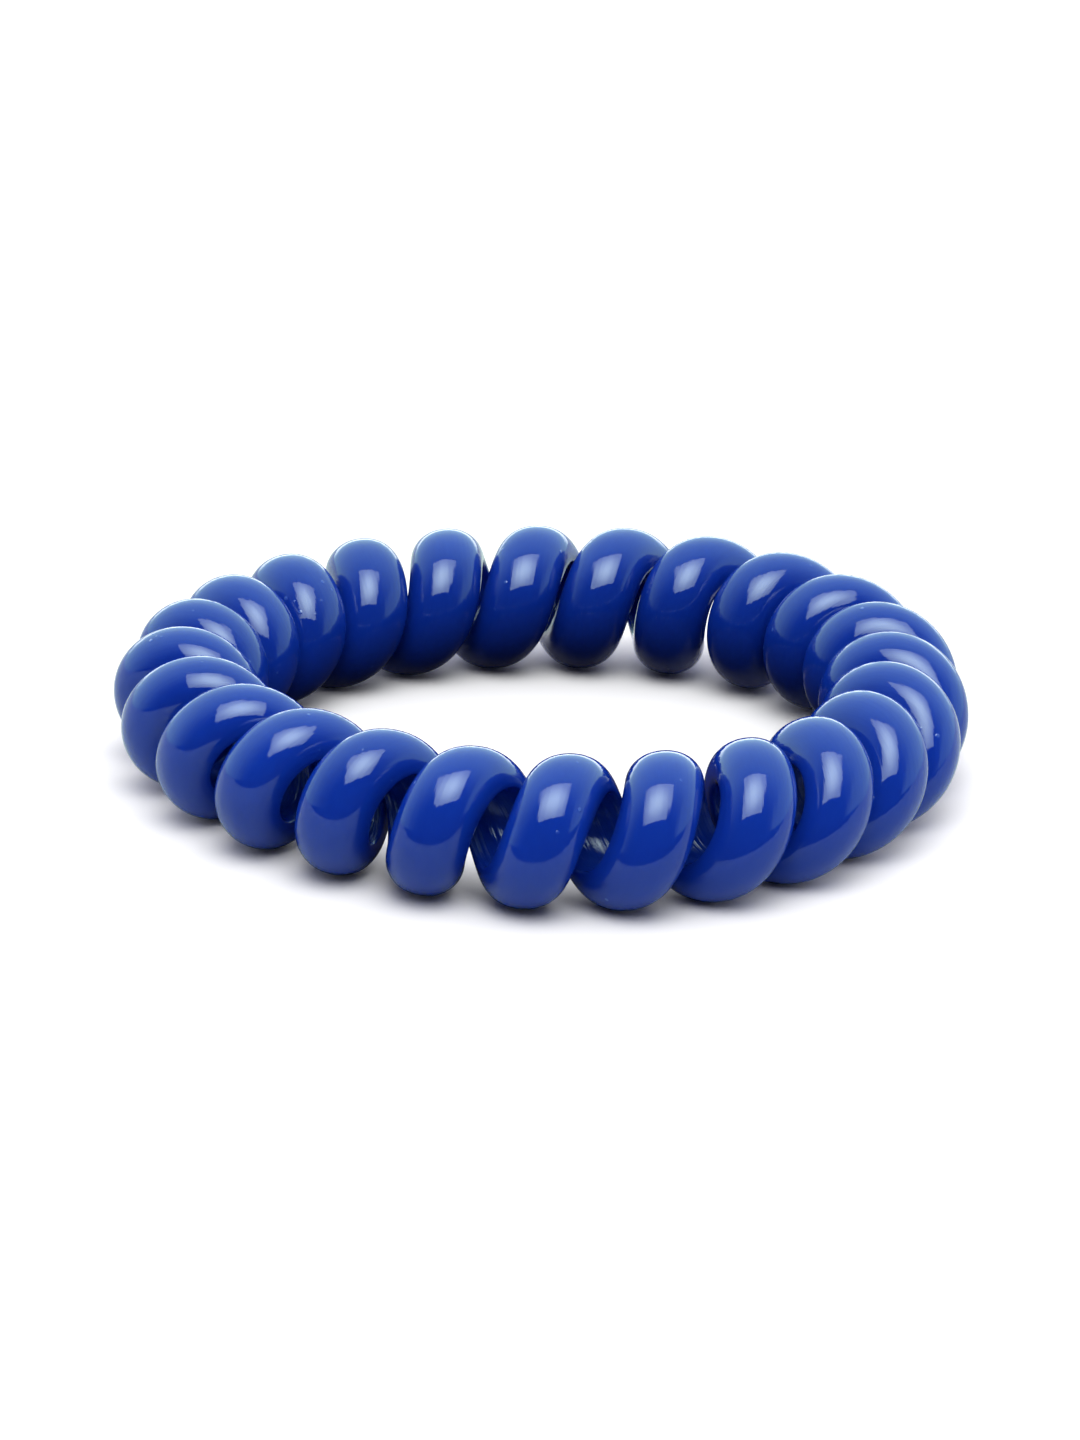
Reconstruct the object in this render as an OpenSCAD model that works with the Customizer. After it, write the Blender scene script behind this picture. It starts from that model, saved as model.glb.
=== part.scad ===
// Spiral hair tie: one elastic cord, moulded as a closed coil that bends round into a ring.
// The ring lies flat on Z = 0, centred on the Z axis, with the front of the ring towards -Y.

/* [Ring] */
// Outside diameter of the ring, lying unstretched
ring_d = 55; // [48:0.5:62]
// Outside diameter of the coil, which is also the height of the ring
coil_d = 9.6; // [8.4:0.1:10.4]

/* [Cord] */
// Width of the cord across its domed outer face
cord_w = 4.85; // [4.2:0.05:5.2]
// Thickness of the cord from its flat inner face to the crown of its outer face
cord_t = 2.6; // [2.2:0.1:3.2]
// Height of the flank between the domed face and the rounded inner edge
flank_h = 0.1; // [0.05:0.05:0.6]
// Size of the rounded inner edges of the cord
edge_r = 0.3; // [0.2:0.05:0.6]
// Fullness of the domed face: 2 is an ellipse, and more has squarer shoulders
fullness = 2.1; // [2:0.1:3]

/* [Turns] */
// Least gap between two turns where they crowd on the ring's inner side, taken all round
turn_gap = 0.15; // [0.1:0.05:0.6]

/* [Hidden] */

// How the relaxed ring lies, at even steps round it from the front, counter-clockwise from above.
// slip: how far the turns have slid along the ring, as a share of the cord's width
// bulge: how far the ring stands out of a true circle, as a share of its radius
// lean: how far the top of a turn leans along the ring, as a share of the cord's width
SLIP = 0;
BULGE = 1;
LEAN = 2;
LIE = [
    // slip, bulge, lean
    [-0.09,  0.038, -0.04],
    [-0.18,  0.038,  0.03],
    [-0.20, -0.016,  0.09],
    [-0.05, -0.038,  0.09],
    [ 0.07,  0.013,  0.11],
    [ 0.02,  0.030,  0.10],
    [ 0.02, -0.005,  0.00],
    [ 0.05, -0.004, -0.01],
    [ 0.00,  0.016,  0.02],
    [-0.15,  0.036,  0.02],
    [-0.20, -0.003,  0.02],
    [-0.12, -0.018, -0.05]
];

// Rings of facets along one turn, and facets over the cord's domed face
steps = 20;
dome_steps = 5;

coil_r = coil_d / 2;
ring_r = ring_d / 2 - coil_r;
root_r = coil_r - cord_t;
dome_h = cord_t - flank_h - edge_r;

// The turns come closest at their flanks, on the ring's inner side. The cord crosses there at a
// slant, so that a turn takes up a little more of the ring than the cord's own width and gap.
flank_r = root_r + edge_r + flank_h;
inner_l = 2 * PI * (ring_r - flank_r);
turn_l = 2 * PI * flank_r;
room = cord_w + turn_gap;
turns = floor(inner_l * sqrt(1 - pow(room / turn_l, 2)) / room);
pitch = inner_l / turns;

// Smooth closed curve through one column of a table, with s from 0 to 1 round the ring
function smooth(table, column, s) =
    let (
        n = len(table),
        x = n * (s - floor(s)),
        i = floor(x),
        t = x - i,
        a = table[(i + n - 1) % n][column],
        b = table[i % n][column],
        c = table[(i + 1) % n][column],
        d = table[(i + 2) % n][column]
    )
    b + t / 2 * (c - a + t * (2 * a - 5 * b + 4 * c - d + t * (3 * (b - c) + d - a)));

function unit(v) = v / norm(v);

// Direction across the coil at angle q round the coil, in the upright plane at angle f round the ring
function across(f, q) = [cos(q) * cos(f), cos(q) * sin(f), sin(q)];

// Angle round the ring at turn t, from the front
function ring_angle(t) =
    360 * (t + smooth(LIE, SLIP, t / turns) * cord_w / pitch) / turns - 90;

// Middle of the cord's flat inner face at turn t. Turn 0 starts on the ring's outer side.
function root(t) =
    let (
        f = ring_angle(t),
        q = 360 * t,
        lie_r = ring_r * (1 + smooth(LIE, BULGE, t / turns)),
        lean = cord_w * smooth(LIE, LEAN, t / turns) * sin(q)
    )
    lie_r * [cos(f), sin(f), 0] + lean * [-sin(f), cos(f), 0] + root_r * across(f, q);

// One quarter of the dome's curve, from 0 to 1, for the sine or cosine of its angle
function full(x) = sign(x) * pow(abs(x), 2 / fullness);

// The cord's outline as [across its width, up from its flat face], counter-clockwise
function cord_outline() = concat(
    [for (i = [0 : dome_steps])
        let (a = 180 * i / dome_steps)
        [cord_w / 2 * full(cos(a)), cord_t - dome_h + dome_h * full(sin(a))]],
    [
        [-cord_w / 2, edge_r],
        [-cord_w / 2 + edge_r, 0],
        [cord_w / 2 - edge_r, 0],
        [cord_w / 2, edge_r]
    ]
);

// The outline's points, set square to the cord at turn t
function cord_section(t) =
    let (
        d = 0.5 / steps,
        way = unit(root(t + d) - root(t - d)),
        out = across(ring_angle(t), 360 * t),
        up = unit(out - (out * way) * way),
        side = cross(up, way)
    )
    [for (p = cord_outline()) root(t) + p[0] * side + p[1] * up];

module spiral_coil() {
    sections = [for (i = [0 : turns * steps - 1]) cord_section(i / steps)];
    n = len(sections);
    m = len(sections[0]);
    points = [for (s = sections) for (p = s) p];
    xs = [for (p = points) p[0]];
    ys = [for (p = points) p[1]];
    zs = [for (p = points) p[2]];
    faces = [
        for (i = [0 : n - 1]) for (j = [0 : m - 1])
            let (
                a = i * m + j,
                b = i * m + (j + 1) % m,
                c = ((i + 1) % n) * m + (j + 1) % m,
                d = ((i + 1) % n) * m + j
            )
            each [[a, c, b], [a, d, c]]
    ];
    color("royalblue")
        translate([-(min(xs) + max(xs)) / 2, -(min(ys) + max(ys)) / 2, -min(zs)])
            polyhedron(points, faces, convexity = 10);
}

spiral_coil();
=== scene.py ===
import math

import bpy
import numpy as np
from mathutils import Matrix, Vector


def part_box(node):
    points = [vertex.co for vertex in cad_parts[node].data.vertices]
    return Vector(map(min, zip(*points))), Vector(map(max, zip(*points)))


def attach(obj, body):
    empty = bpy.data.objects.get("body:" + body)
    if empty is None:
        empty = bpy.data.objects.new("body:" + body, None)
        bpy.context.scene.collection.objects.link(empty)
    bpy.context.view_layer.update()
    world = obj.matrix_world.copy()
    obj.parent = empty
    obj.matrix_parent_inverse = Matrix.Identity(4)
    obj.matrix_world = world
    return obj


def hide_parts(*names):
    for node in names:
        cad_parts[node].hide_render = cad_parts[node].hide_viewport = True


# Looks of a spiral hair tie: one glossy blue elastic cord, coiled and bent round into a ring.
# Everything is in metres. The ring lies on Z = 0, with its front towards -Y.

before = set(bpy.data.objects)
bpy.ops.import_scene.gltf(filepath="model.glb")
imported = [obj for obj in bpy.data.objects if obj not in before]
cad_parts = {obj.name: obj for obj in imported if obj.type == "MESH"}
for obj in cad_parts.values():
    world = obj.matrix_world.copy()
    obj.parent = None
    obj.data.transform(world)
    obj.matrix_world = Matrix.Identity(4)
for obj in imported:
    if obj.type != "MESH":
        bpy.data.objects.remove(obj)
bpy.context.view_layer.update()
print("frame loaded")

# The ring, with the same driving sizes as the solid has
tie = dict(
    ringWidth=0.055,
    coilWidth=0.0096,
    cordWidth=0.00485,
    cordThickness=0.0026,
    flankHeight=0.0001,
    edgeRadius=0.0003,
    fullness=2.1,
    turnGap=0.00015,
    stations=72,  # rings of points in one turn
    domePoints=30,
    edgeSegments=5,
    innerCuts=6,
    sameSpot=1e-6,  # points closer than this are one
)

# How the relaxed ring lies, at twelve even places round it that start at the front and go to the right
lie = [
    dict(slip=-0.09, bulge=0.038, lean=-0.04),
    dict(slip=-0.18, bulge=0.038, lean=0.03),
    dict(slip=-0.20, bulge=-0.016, lean=0.09),
    dict(slip=-0.05, bulge=-0.038, lean=0.09),
    dict(slip=0.07, bulge=0.013, lean=0.11),
    dict(slip=0.02, bulge=0.030, lean=0.10),
    dict(slip=0.02, bulge=-0.005, lean=0.00),
    dict(slip=0.05, bulge=-0.004, lean=-0.01),
    dict(slip=0.00, bulge=0.016, lean=0.02),
    dict(slip=-0.15, bulge=0.036, lean=0.02),
    dict(slip=-0.20, bulge=-0.003, lean=0.02),
    dict(slip=-0.12, bulge=-0.018, lean=-0.05),
]


class Turns:  # what follows from the sizes: how many turns fit, and how far apart they lie
    def __init__(self, size):
        self.coilRadius = size["coilWidth"] / 2
        self.ringRadius = size["ringWidth"] / 2 - self.coilRadius
        self.rootRadius = self.coilRadius - size["cordThickness"]
        flank = self.rootRadius + size["edgeRadius"] + size["flankHeight"]
        innerLength = math.tau * (self.ringRadius - flank)
        turnLength = math.tau * flank
        room = size["cordWidth"] + size["turnGap"]
        self.count = math.floor(innerLength * math.sqrt(1 - (room / turnLength) ** 2) / room)
        self.pitch = innerLength / self.count


turns = Turns(tie)


def roundRing(name, turn):  # a value of the lie, smoothed between its places
    value = np.array([place[name] for place in lie])
    spot = np.mod(turn / turns.count, 1) * len(value)
    first = np.floor(spot).astype(int)
    t = spot - first
    a, b, c, d = [value[(first + step) % len(value)] for step in (-1, 0, 1, 2)]
    return b + t / 2 * (c - a + t * (2 * a - 5 * b + 4 * c - d + t * (3 * (b - c) + d - a)))


def ringAngle(turn):
    slip = roundRing("slip", turn) * tie["cordWidth"] / turns.pitch
    return math.tau * (turn + slip) / turns.count - math.pi / 2


def acrossCoil(turn):  # which way is out from the middle of the coil
    ring, coil = ringAngle(turn), math.tau * turn
    return np.stack([np.cos(coil) * np.cos(ring), np.cos(coil) * np.sin(ring), np.sin(coil)], -1)


def cordRoot(turn):  # the middle of the cord's flat inner face
    ring = ringAngle(turn)
    zero = np.zeros_like(ring)
    reach = turns.ringRadius * (1 + roundRing("bulge", turn))
    lean = tie["cordWidth"] * roundRing("lean", turn) * np.sin(math.tau * turn)
    outward = np.stack([np.cos(ring), np.sin(ring), zero], -1)
    onward = np.stack([-np.sin(ring), np.cos(ring), zero], -1)
    return reach[:, None] * outward + lean[:, None] * onward + turns.rootRadius * acrossCoil(turn)


def unit(rows):
    return rows / np.linalg.norm(rows, axis=1)[:, None]


def startFresh():
    if bpy.context.object and bpy.context.object.mode != "OBJECT":
        bpy.ops.object.mode_set(mode="OBJECT")
    bpy.ops.object.select_all(action="DESELECT")


def pickPoints(piece, height):  # in edit mode, selects the points at one height of the section
    bpy.ops.object.mode_set(mode="OBJECT")
    for point in piece.data.vertices:
        point.select = abs(point.co.y - height) < tie["sameSpot"]
    for edge in piece.data.edges:
        edge.select = all(piece.data.vertices[end].select for end in edge.vertices)
    for face in piece.data.polygons:
        face.select = False
    bpy.ops.object.mode_set(mode="EDIT")


def cordOutline():  # the cord's section: across is X and height is Y, with the flat inner face on Y = 0
    startFresh()
    half = tie["cordWidth"] / 2
    flankTop = tie["edgeRadius"] + tie["flankHeight"]
    dome = tie["cordThickness"] - flankTop
    bpy.ops.mesh.primitive_circle_add(vertices=2 * tie["domePoints"], radius=1, fill_type="NGON")
    outline = bpy.context.object
    outline.name = "cordOutline"
    bpy.ops.object.mode_set(mode="EDIT")
    bpy.ops.mesh.select_all(action="SELECT")
    bpy.ops.mesh.bisect(plane_co=(0, 0, 0), plane_no=(0, 1, 0), clear_inner=True)
    bpy.ops.object.mode_set(mode="OBJECT")
    for point in outline.data.vertices:  # a half circle becomes the fuller dome
        x, y = point.co.x, max(point.co.y, 0)
        point.co.x = math.copysign(abs(x) ** (2 / tie["fullness"]), x) * half
        point.co.y = flankTop + dome * y ** (2 / tie["fullness"])
    pickPoints(outline, flankTop)
    bpy.ops.mesh.extrude_edges_move(TRANSFORM_OT_translate={"value": (0, -flankTop, 0)})
    bpy.ops.mesh.bevel(
        offset=tie["edgeRadius"], segments=tie["edgeSegments"], affect="VERTICES", offset_type="OFFSET"
    )
    pickPoints(outline, flankTop)  # the cut's own edge goes, and the flat inner face gets a few points
    bpy.ops.mesh.dissolve_edges(use_verts=False)
    pickPoints(outline, 0)
    bpy.ops.mesh.subdivide(number_cuts=tie["innerCuts"])
    bpy.ops.mesh.select_all(action="SELECT")
    bpy.ops.mesh.delete(type="ONLY_FACE")
    bpy.ops.object.mode_set(mode="OBJECT")
    return outline


def spiralCoil():  # the outline is wound into a straight coil, which then bends round into the ring
    coil = cordOutline()
    coil.name = "spiralCoil"
    section = np.array([point.co.xy for point in coil.data.vertices])
    coil.data.transform(Matrix.Translation((0, turns.rootRadius, 0)))
    winding = coil.modifiers.new("winding", "SCREW")
    winding.axis = "X"
    winding.angle = math.tau
    winding.iterations = turns.count
    winding.screw_offset = turns.pitch
    winding.steps = winding.render_steps = tie["stations"]
    bpy.ops.object.modifier_apply(modifier="winding")

    point = np.arange(len(coil.data.vertices))
    station, spot = point // len(section), point % len(section)
    turn = station / tie["stations"]
    step = 0.5 / tie["stations"]
    onward = unit(cordRoot(turn + step) - cordRoot(turn - step))
    outward = acrossCoil(turn)
    outward = unit(outward - (outward * onward).sum(1)[:, None] * onward)
    aside = np.cross(outward, onward)
    across, height = section[spot, 0], section[spot, 1]
    place = cordRoot(turn) + across[:, None] * aside + height[:, None] * outward
    low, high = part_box("spiral_coil")
    shift = (np.array(low) + np.array(high) - place.min(0) - place.max(0)) / 2
    shift[2] = low.z - place[:, 2].min()
    coil.data.vertices.foreach_set("co", (place + shift).astype(np.float32).ravel())

    alongCord = coil.data.attributes.new("cordPlace", "FLOAT_VECTOR", "POINT")
    millimetres = 1000
    cordPlace = np.stack([across * millimetres, height * millimetres, turn], -1)
    alongCord.data.foreach_set("vector", cordPlace.astype(np.float32).ravel())

    startFresh()
    coil.select_set(True)
    bpy.context.view_layer.objects.active = coil
    bpy.ops.object.mode_set(mode="EDIT")
    bpy.ops.mesh.select_all(action="SELECT")
    bpy.ops.mesh.remove_doubles(threshold=tie["sameSpot"])
    bpy.ops.mesh.normals_make_consistent(inside=False)
    bpy.ops.object.mode_set(mode="OBJECT")
    bpy.ops.object.shade_smooth()
    print("coil:", turns.count, "turns,", len(coil.data.polygons), "faces")
    return coil


coil = spiralCoil()


class Wire:  # a socket that can be added, taken away and multiplied like a number
    def __init__(self, bench, socket):
        self.bench = bench
        self.socket = socket

    def __add__(self, other):
        return self.bench.maths("ADD", self, other)

    def __radd__(self, other):
        return self.bench.maths("ADD", other, self)

    def __rsub__(self, other):
        return self.bench.maths("SUBTRACT", other, self)

    def __mul__(self, other):
        return self.bench.maths("MULTIPLY", self, other)

    def __rmul__(self, other):
        return self.bench.maths("MULTIPLY", other, self)


class Bench:  # the nodes of one material, or of the world
    def __init__(self, owner):
        owner.use_nodes = True
        self.owner = owner
        self.tree = owner.node_tree
        self.tree.nodes.clear()

    def node(self, kind, settings=None, inputs=None, output=0):
        made = self.tree.nodes.new(kind)
        for name, value in (settings or {}).items():
            setattr(made, name, value)
        for name, value in (inputs or {}).items():
            if isinstance(value, Wire):
                self.tree.links.new(value.socket, made.inputs[name])
            else:
                made.inputs[name].default_value = value
        return Wire(self, made.outputs[output]) if made.outputs else made

    def maths(self, operation, first, second=0.0):
        return self.node("ShaderNodeMath", {"operation": operation}, {0: first, 1: second})

    def blendColours(self, share, first, second):
        inputs = {0: share, 6: first, 7: second}
        return self.node("ShaderNodeMix", {"data_type": "RGBA"}, inputs, output=2)

    def between(self, value, low, high):  # a smooth step from 0 at low to 1 at high
        settings = {"interpolation_type": "SMOOTHSTEP"}
        return self.node("ShaderNodeMapRange", settings, {0: value, 1: low, 2: high})

    def noise(self, place, scale, detail=2.0):
        return self.node("ShaderNodeTexNoise", inputs={"Vector": place, "Scale": scale, "Detail": detail})

    def along(self, place, axis):  # the part of a place along X, Y or Z
        return self.node("ShaderNodeSeparateXYZ", inputs={0: place}, output=axis)

    def fromMiddle(self, place):
        return self.node("ShaderNodeVectorMath", {"operation": "LENGTH"}, {0: place}, output="Value")

    def coordinates(self, kind):
        return self.node("ShaderNodeTexCoord", output=kind)

    def light(self, kind):  # 1 for light of one kind, and 0 for the rest
        return self.node("ShaderNodeLightPath", output=kind)


# The glossy blue elastic. Scales are repeats in a metre, and edges are where a mask starts and ends.
elastic = dict(
    deepBlue=(0.0029, 0.0227, 0.259, 1),
    paleBlue=(0.0042, 0.0328, 0.333, 1),
    cloudScale=180,
    roughness=0.025,
    smudgeRoughness=0.04,
    smudgeEdge=(0.5, 0.75),
    innerRoughness=0.04,
    innerFace=(0.25, 0.05),  # millimetres up from the cord's flat face
    waveScale=260,
    waveHeight=0.000030,
    drawnLines=4.0,  # in a millimetre of the section
    drawnHeight=0.000010,
    innerDrawnHeight=0.000090,
    reliefDetail=3.0,
    dustColour=(0.03, 0.08, 0.40, 1),
    speckScale=900,
    speckEdge=(0.15, 0.075),
    patchScale=279,  # specks show only in a few patches
    patchEdge=(0.62, 0.66),
    pitHeight=0.00002,
    refraction=1.45,
    mirrorTint=(0.86, 1.0, 1.0, 1),
    letInShare=0.4,  # of the light that isn't mirrored
    letInDepth=0.0025,
    letInReach=(0.2, 0.6, 1.0),  # of red, green and blue, as shares of the depth
)


def blueElastic():
    bench = Bench(bpy.data.materials.new("blueElastic"))
    place = bench.coordinates("Object")
    cordPlace = bench.node("ShaderNodeAttribute", {"attribute_name": "cordPlace"}, output="Vector")
    section = bench.node("ShaderNodeVectorMath", {"operation": "MULTIPLY"}, {0: cordPlace, 1: (1, 1, 0)})
    cloud = bench.noise(place, elastic["cloudScale"])
    wave = bench.noise(place, elastic["waveScale"], elastic["reliefDetail"])
    lines = bench.noise(section, elastic["drawnLines"], elastic["reliefDetail"])
    inside = bench.between(bench.along(cordPlace, "Y"), *elastic["innerFace"])
    speck = bench.node("ShaderNodeTexVoronoi", inputs={"Vector": place, "Scale": elastic["speckScale"]})
    patch = bench.between(bench.noise(place, elastic["patchScale"], 0.0), *elastic["patchEdge"])
    dust = bench.between(speck, *elastic["speckEdge"]) * patch

    colour = bench.blendColours(cloud, elastic["deepBlue"], elastic["paleBlue"])
    colour = bench.blendColours(dust, colour, elastic["dustColour"])
    roughness = (
        elastic["roughness"]
        + elastic["smudgeRoughness"] * bench.between(cloud, *elastic["smudgeEdge"])
        + elastic["innerRoughness"] * inside
    )
    relief = (
        wave * elastic["waveHeight"]
        + lines * (elastic["drawnHeight"] + inside * elastic["innerDrawnHeight"])
        + dust * elastic["pitHeight"]
    )
    bump = bench.node("ShaderNodeBump", inputs={"Height": relief, "Distance": 1.0, "Strength": 1.0})
    shader = bench.node(
        "ShaderNodeBsdfPrincipled",
        inputs={
            "Base Color": colour,
            "Roughness": roughness,
            "Normal": bump,
            "IOR": elastic["refraction"],
            "Specular Tint": elastic["mirrorTint"],
            "Subsurface Weight": elastic["letInShare"],
            "Subsurface Scale": elastic["letInDepth"],
            "Subsurface Radius": elastic["letInReach"],
        },
    )
    bench.node("ShaderNodeOutputMaterial", inputs={"Surface": shader})
    return bench.owner


coil.data.materials.append(blueElastic())
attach(coil, "root")
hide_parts("spiral_coil")
print("coil finished")


def towards(azimuth, elevation):  # azimuth 0 is the front, and 90 the right
    a, e = math.radians(azimuth), math.radians(elevation)
    return Vector((math.sin(a) * math.cos(e), -math.cos(a) * math.cos(e), math.sin(e)))


# The pale floor. The camera sees it plain, and what the tie mirrors of it is set apart, zone by zone.
floorLooks = dict(
    width=1.8,
    seenColour=(0.92, 0.92, 0.92, 1),
    bounceColour=(0.68, 0.68, 0.68, 1),  # for the plain light that it throws onto the tie
    shadeColour=(0.032, 0.032, 0.032, 1),  # inside the ring, and mirrored past the front edge
    mirroredColour=(0.53, 0.65, 0.62, 1),
    backColour=(0.94, 0.95, 1.0, 1),  # mirrored just behind the ring's middle
    ringEdge=(0.019, 0.025),  # out from the middle
    frontEdge=(-0.0380, -0.0350),  # along Y, and so are the next two
    backStart=(0.004, 0.018),
    backEnd=(0.034, 0.028),
    backSide=(0.036, 0.028),  # along X, to the left and to the right
    roughness=0.7,
)


def paleFloor():
    startFresh()
    bpy.ops.mesh.primitive_plane_add(size=floorLooks["width"], location=(0, 0, 0))
    floor = bpy.context.object
    floor.name = "floor"
    bench = Bench(bpy.data.materials.new("paleFloor"))
    place = bench.coordinates("Object")
    x, y = bench.along(place, "X"), bench.along(place, "Y")
    outside = bench.between(bench.fromMiddle(place), *floorLooks["ringEdge"])
    near = bench.between(y, *floorLooks["frontEdge"])
    back = bench.between(y, *floorLooks["backStart"]) * bench.between(y, *floorLooks["backEnd"])
    back = back * bench.between(bench.maths("ABSOLUTE", x), *floorLooks["backSide"])
    colour = bench.blendColours(back, floorLooks["mirroredColour"], floorLooks["backColour"])
    colour = bench.blendColours(near, floorLooks["shadeColour"], colour)
    colour = bench.blendColours(bench.light("Is Glossy Ray"), floorLooks["bounceColour"], colour)
    colour = bench.blendColours(outside, floorLooks["shadeColour"], colour)
    colour = bench.blendColours(bench.light("Is Camera Ray"), colour, floorLooks["seenColour"])
    shader = bench.node(
        "ShaderNodeBsdfPrincipled",
        inputs={"Base Color": colour, "Roughness": floorLooks["roughness"], "Specular IOR Level": 0.0},
    )
    bench.node("ShaderNodeOutputMaterial", inputs={"Surface": shader})
    floor.data.materials.append(bench.owner)


# The soft box above the tie, brightest in its middle, as a real one is
lamp = dict(
    azimuth=4.0,
    elevation=64.4,
    distance=0.80,
    width=0.85,
    height=0.87,
    strength=4.2,
    coreStrength=1.9,  # how much is added in the middle, as a share of the strength
    coreEdge=(0.55, 0.0),  # out from the middle, as a share of the box
    fadingEdge=(0.5, 0.47),
    mirroredColour=(0.97, 1.07, 1.07, 1),
    plainShare=0.525,  # how much of what the tie mirrors it gives as plain light
)


def softBox():
    startFresh()
    direction = towards(lamp["azimuth"], lamp["elevation"])
    bpy.ops.mesh.primitive_plane_add(size=1)
    box = bpy.context.object
    box.name = "softBox"
    turned = direction.to_track_quat("Z", "Y").to_matrix().to_4x4()
    sized = Matrix.Diagonal((lamp["width"], lamp["height"], 1, 1))
    box.matrix_world = Matrix.Translation(direction * lamp["distance"]) @ turned @ sized
    box.visible_camera = False
    bench = Bench(bpy.data.materials.new("softBox"))
    place = bench.coordinates("Object")
    mirrored = bench.light("Is Glossy Ray")
    core = bench.between(bench.fromMiddle(place), *lamp["coreEdge"])
    strength = lamp["strength"] * (1 + lamp["coreStrength"] * core)
    for axis in "XY":
        fromMiddle = bench.maths("ABSOLUTE", bench.along(place, axis))
        strength = strength * bench.between(fromMiddle, *lamp["fadingEdge"])
    strength = strength * (lamp["plainShare"] + mirrored * (1 - lamp["plainShare"]))
    colour = bench.blendColours(mirrored, (1.0, 1.0, 1.0, 1), lamp["mirroredColour"])
    shader = bench.node("ShaderNodeEmission", inputs={"Color": colour, "Strength": strength})
    bench.node("ShaderNodeOutputMaterial", inputs={"Surface": shader})
    box.data.materials.append(bench.owner)


# The room: bright walls behind and to the right, brightest low down behind, and the dark in front.
# Edges are parts of a direction, and so run from -1 to 1.
room = dict(
    frontGlow=0.07,
    backGlow=1.45,
    backEdge=(-0.75, 0.45),  # along Y
    sideGlow=0.85,
    sideEdge=(0.78, 0.90),  # along X
    lowGlow=1.9,
    lowTop=(0.17, 0.07),  # along Z
    lowSide=(0.80, 0.95),  # along Y
    wallColour=(0.72, 1.10, 0.99, 1),  # mirrored
    lowColour=(0.92, 1.04, 1.05, 1),  # mirrored
    plainColour=(0.91, 0.91, 0.91, 1),  # as plain light
    seenColour=(1.0, 1.0, 1.0, 1),
)


def studioWorld():
    world = bpy.data.worlds.new("studio")
    bpy.context.scene.world = world
    bench = Bench(world)
    way = bench.coordinates("Generated")
    x, y, z = [bench.along(way, axis) for axis in "XYZ"]
    back = bench.between(y, *room["backEdge"])
    low = bench.between(z, *room["lowTop"]) * bench.between(y, *room["lowSide"])
    glow = (
        room["frontGlow"]
        + back * (room["backGlow"] - room["frontGlow"])
        + (1 - back) * bench.between(x, *room["sideEdge"]) * room["sideGlow"]
        + back * low * room["lowGlow"]
    )
    colour = bench.blendColours(low, room["wallColour"], room["lowColour"])
    colour = bench.blendColours(bench.light("Is Glossy Ray"), room["plainColour"], colour)
    light = bench.node("ShaderNodeBackground", inputs={"Color": colour, "Strength": glow})
    plain = bench.node("ShaderNodeBackground", inputs={"Color": room["seenColour"]})
    seen = bench.light("Is Camera Ray")
    shown = bench.node("ShaderNodeMixShader", inputs={0: seen, 1: light, 2: plain})
    bench.node("ShaderNodeOutputWorld", inputs={"Surface": shown})


# The photo's camera, with a longer lens that is turned to the tie
view = dict(
    ringCentre=(0.00083, 0.00048, 0.0048),
    distance=0.400,
    elevation=18.98,
    roll=1.33,
    aim=(0.0, -0.0022, 0.0047),
    focal=6232,  # in pixels of a frame 1440 high
    frameHeight=1440,
    nearest=0.01,
)


def photoCamera():
    camera = bpy.data.objects.new("camera", bpy.data.cameras.new("camera"))
    bpy.context.scene.collection.objects.link(camera)
    camera.location = Vector(view["ringCentre"]) + towards(0, view["elevation"]) * view["distance"]
    look = (Vector(view["aim"]) - camera.location).to_track_quat("-Z", "Y").to_matrix().to_4x4()
    roll = Matrix.Rotation(math.radians(view["roll"]), 4, "Z")
    camera.matrix_world = Matrix.Translation(camera.location) @ look @ roll
    camera.data.lens = view["focal"] / view["frameHeight"] * camera.data.sensor_width
    camera.data.clip_start = view["nearest"]
    bpy.context.scene.camera = camera


paleFloor()
softBox()
studioWorld()
photoCamera()
bpy.context.scene.view_settings.view_transform = "Standard"
print("studio ready")
